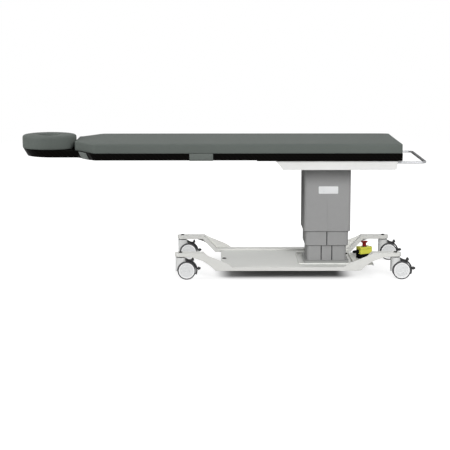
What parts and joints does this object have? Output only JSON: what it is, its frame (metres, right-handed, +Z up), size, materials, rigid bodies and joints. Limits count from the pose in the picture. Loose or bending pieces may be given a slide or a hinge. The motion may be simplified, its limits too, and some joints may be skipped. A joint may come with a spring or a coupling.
{
  "type": "radiography table",
  "caption": "Cantilevered carbon-fibre imaging table with pads and a head ring, on a telescoping lift column and a wheeled base",
  "frame": {"origin": "on the floor, under the middle of the table's overall length and width", "axes": "+X from the head end to the foot end with the handle, +Z up, -Y towards the near side"},
  "size_m": [2.246, 0.636, 0.774],
  "materials": {
    "base_white": "satin",
    "tray_white": "satin",
    "shroud_grey": "satin",
    "pan_white": "satin",
    "foot_plate": "matte",
    "bare_steel": "satin",
    "motor": "matte",
    "carbon": "gloss",
    "pad_grey": "matte",
    "strap": "matte",
    "handle_steel": "polished",
    "grip": "matte",
    "black_plastic": "matte",
    "caster_white": "satin",
    "wheel": "satin",
    "stop_yellow": "satin",
    "stop_red": "satin"
  },
  "bodies": {
    "base": {"side_rail_near": "base_white", "side_rail_far": "base_white", "cross_bar_head": "base_white", "cross_bar_middle": "base_white", "base_plate": "base_white", "base_tray": "tray_white", "tray_plug": "black_plastic", "column_foot_plate": "foot_plate", "caster_stems": "bare_steel", "caster_collars": "black_plastic", "caster_bolt_caps": "black_plastic", "lower_shroud": "shroud_grey", "column_tube_lower": "bare_steel", "lift_nut_tube": "bare_steel", "foot_gland": "black_plastic", "estop_base": "black_plastic", "estop_box": "stop_yellow", "estop_gland": "black_plastic"},
    "mid_stage": {"middle_shroud": "shroud_grey", "column_tube_middle": "bare_steel"},
    "top": {"upper_shroud": "shroud_grey", "column_tube_upper": "bare_steel", "lift_screw": "bare_steel", "lift_motor": "motor", "column_head_plate": "bare_steel", "control_box": "black_plastic", "support_pan": "pan_white", "carbon_top": "carbon", "main_pad": "pad_grey", "head_ring": "pad_grey", "side_strap_near": "strap", "side_strap_far": "strap", "corner_strap_near": "strap", "corner_strap_far": "strap", "handle_rod": "handle_steel", "handle_grip": "grip", "handle_bushes": "black_plastic"},
    "estop_plunger": {"estop_stem": "black_plastic"},
    "estop_mushroom": {"estop_cap": "stop_red"},
    "swivel_head_near": {"caster_head_near_housing": "caster_white"},
    "pedal_head_near": {"caster_head_near_pedal": "black_plastic"},
    "wheel_head_near_near": {"caster_head_near_wheel_near": "wheel"},
    "wheel_head_near_far": {"caster_head_near_wheel_far": "wheel"},
    "swivel_head_far": {"caster_head_far_housing": "caster_white"},
    "pedal_head_far": {"caster_head_far_pedal": "black_plastic"},
    "wheel_head_far_near": {"caster_head_far_wheel_near": "wheel"},
    "wheel_head_far_far": {"caster_head_far_wheel_far": "wheel"},
    "swivel_foot_near": {"caster_foot_near_housing": "caster_white"},
    "pedal_foot_near": {"caster_foot_near_pedal": "black_plastic"},
    "wheel_foot_near_near": {"caster_foot_near_wheel_near": "wheel"},
    "wheel_foot_near_far": {"caster_foot_near_wheel_far": "wheel"},
    "swivel_foot_far": {"caster_foot_far_housing": "caster_white"},
    "pedal_foot_far": {"caster_foot_far_pedal": "black_plastic"},
    "wheel_foot_far_near": {"caster_foot_far_wheel_near": "wheel"},
    "wheel_foot_far_far": {"caster_foot_far_wheel_far": "wheel"}
  },
  "joints": [
    {"name": "table_lift", "type": "slide", "parent": "base", "child": "top", "axis": [0, 0, 1], "range_m": [-0.09, 0.27]},
    {"name": "mid_stage_lift", "type": "slide", "parent": "base", "child": "mid_stage", "axis": [0, 0, 1], "range_m": [-0.045, 0.135]},
    {"name": "estop_press", "type": "slide", "parent": "base", "child": "estop_plunger", "axis": [0, 0, -1], "range_m": [0, 0.005], "stiffness_N_per_m": 400, "springref_m": -0.003},
    {"name": "estop_twist", "type": "hinge", "parent": "estop_plunger", "child": "estop_mushroom", "pos_m": [0.817, 0.02, 0.15], "axis": [0, 0, -1], "range_deg": [0, 40], "stiffness_Nm_per_rad": 0.05, "springref_deg": -11.46},
    {"name": "swivel_head_near_turn", "type": "hinge", "parent": "base", "child": "swivel_head_near", "pos_m": [-0.2296, -0.287, 0.1], "axis": [0, 0, 1], "continuous": true},
    {"name": "pedal_head_near_press", "type": "hinge", "parent": "swivel_head_near", "child": "pedal_head_near", "pos_m": [-0.2116, -0.287, 0.112], "axis": [0, 1, 0], "range_deg": [0, 8]},
    {"name": "wheel_head_near_near_roll", "type": "hinge", "parent": "swivel_head_near", "child": "wheel_head_near_near", "pos_m": [-0.1956, -0.287, 0.05], "axis": [0, 1, 0], "continuous": true},
    {"name": "wheel_head_near_far_roll", "type": "hinge", "parent": "swivel_head_near", "child": "wheel_head_near_far", "pos_m": [-0.1956, -0.287, 0.05], "axis": [0, 1, 0], "continuous": true},
    {"name": "swivel_head_far_turn", "type": "hinge", "parent": "base", "child": "swivel_head_far", "pos_m": [-0.2296, 0.287, 0.1], "axis": [0, 0, 1], "continuous": true},
    {"name": "pedal_head_far_press", "type": "hinge", "parent": "swivel_head_far", "child": "pedal_head_far", "pos_m": [-0.2116, 0.287, 0.112], "axis": [0, 1, 0], "range_deg": [0, 8]},
    {"name": "wheel_head_far_near_roll", "type": "hinge", "parent": "swivel_head_far", "child": "wheel_head_far_near", "pos_m": [-0.1956, 0.287, 0.05], "axis": [0, 1, 0], "continuous": true},
    {"name": "wheel_head_far_far_roll", "type": "hinge", "parent": "swivel_head_far", "child": "wheel_head_far_far", "pos_m": [-0.1956, 0.287, 0.05], "axis": [0, 1, 0], "continuous": true},
    {"name": "swivel_foot_near_turn", "type": "hinge", "parent": "base", "child": "swivel_foot_near", "pos_m": [0.9556, -0.287, 0.1], "axis": [0, 0, 1], "continuous": true},
    {"name": "pedal_foot_near_press", "type": "hinge", "parent": "swivel_foot_near", "child": "pedal_foot_near", "pos_m": [0.9736, -0.287, 0.112], "axis": [0, 1, 0], "range_deg": [0, 8]},
    {"name": "wheel_foot_near_near_roll", "type": "hinge", "parent": "swivel_foot_near", "child": "wheel_foot_near_near", "pos_m": [0.9896, -0.287, 0.05], "axis": [0, 1, 0], "continuous": true},
    {"name": "wheel_foot_near_far_roll", "type": "hinge", "parent": "swivel_foot_near", "child": "wheel_foot_near_far", "pos_m": [0.9896, -0.287, 0.05], "axis": [0, 1, 0], "continuous": true},
    {"name": "swivel_foot_far_turn", "type": "hinge", "parent": "base", "child": "swivel_foot_far", "pos_m": [0.9556, 0.287, 0.1], "axis": [0, 0, 1], "continuous": true},
    {"name": "pedal_foot_far_press", "type": "hinge", "parent": "swivel_foot_far", "child": "pedal_foot_far", "pos_m": [0.9736, 0.287, 0.112], "axis": [0, 1, 0], "range_deg": [0, 8]},
    {"name": "wheel_foot_far_near_roll", "type": "hinge", "parent": "swivel_foot_far", "child": "wheel_foot_far_near", "pos_m": [0.9896, 0.287, 0.05], "axis": [0, 1, 0], "continuous": true},
    {"name": "wheel_foot_far_far_roll", "type": "hinge", "parent": "swivel_foot_far", "child": "wheel_foot_far_far", "pos_m": [0.9896, 0.287, 0.05], "axis": [0, 1, 0], "continuous": true}
  ],
  "couplings": [
    {"joint": "mid_stage_lift", "follows": "table_lift", "ratio": 0.5}
  ]
}
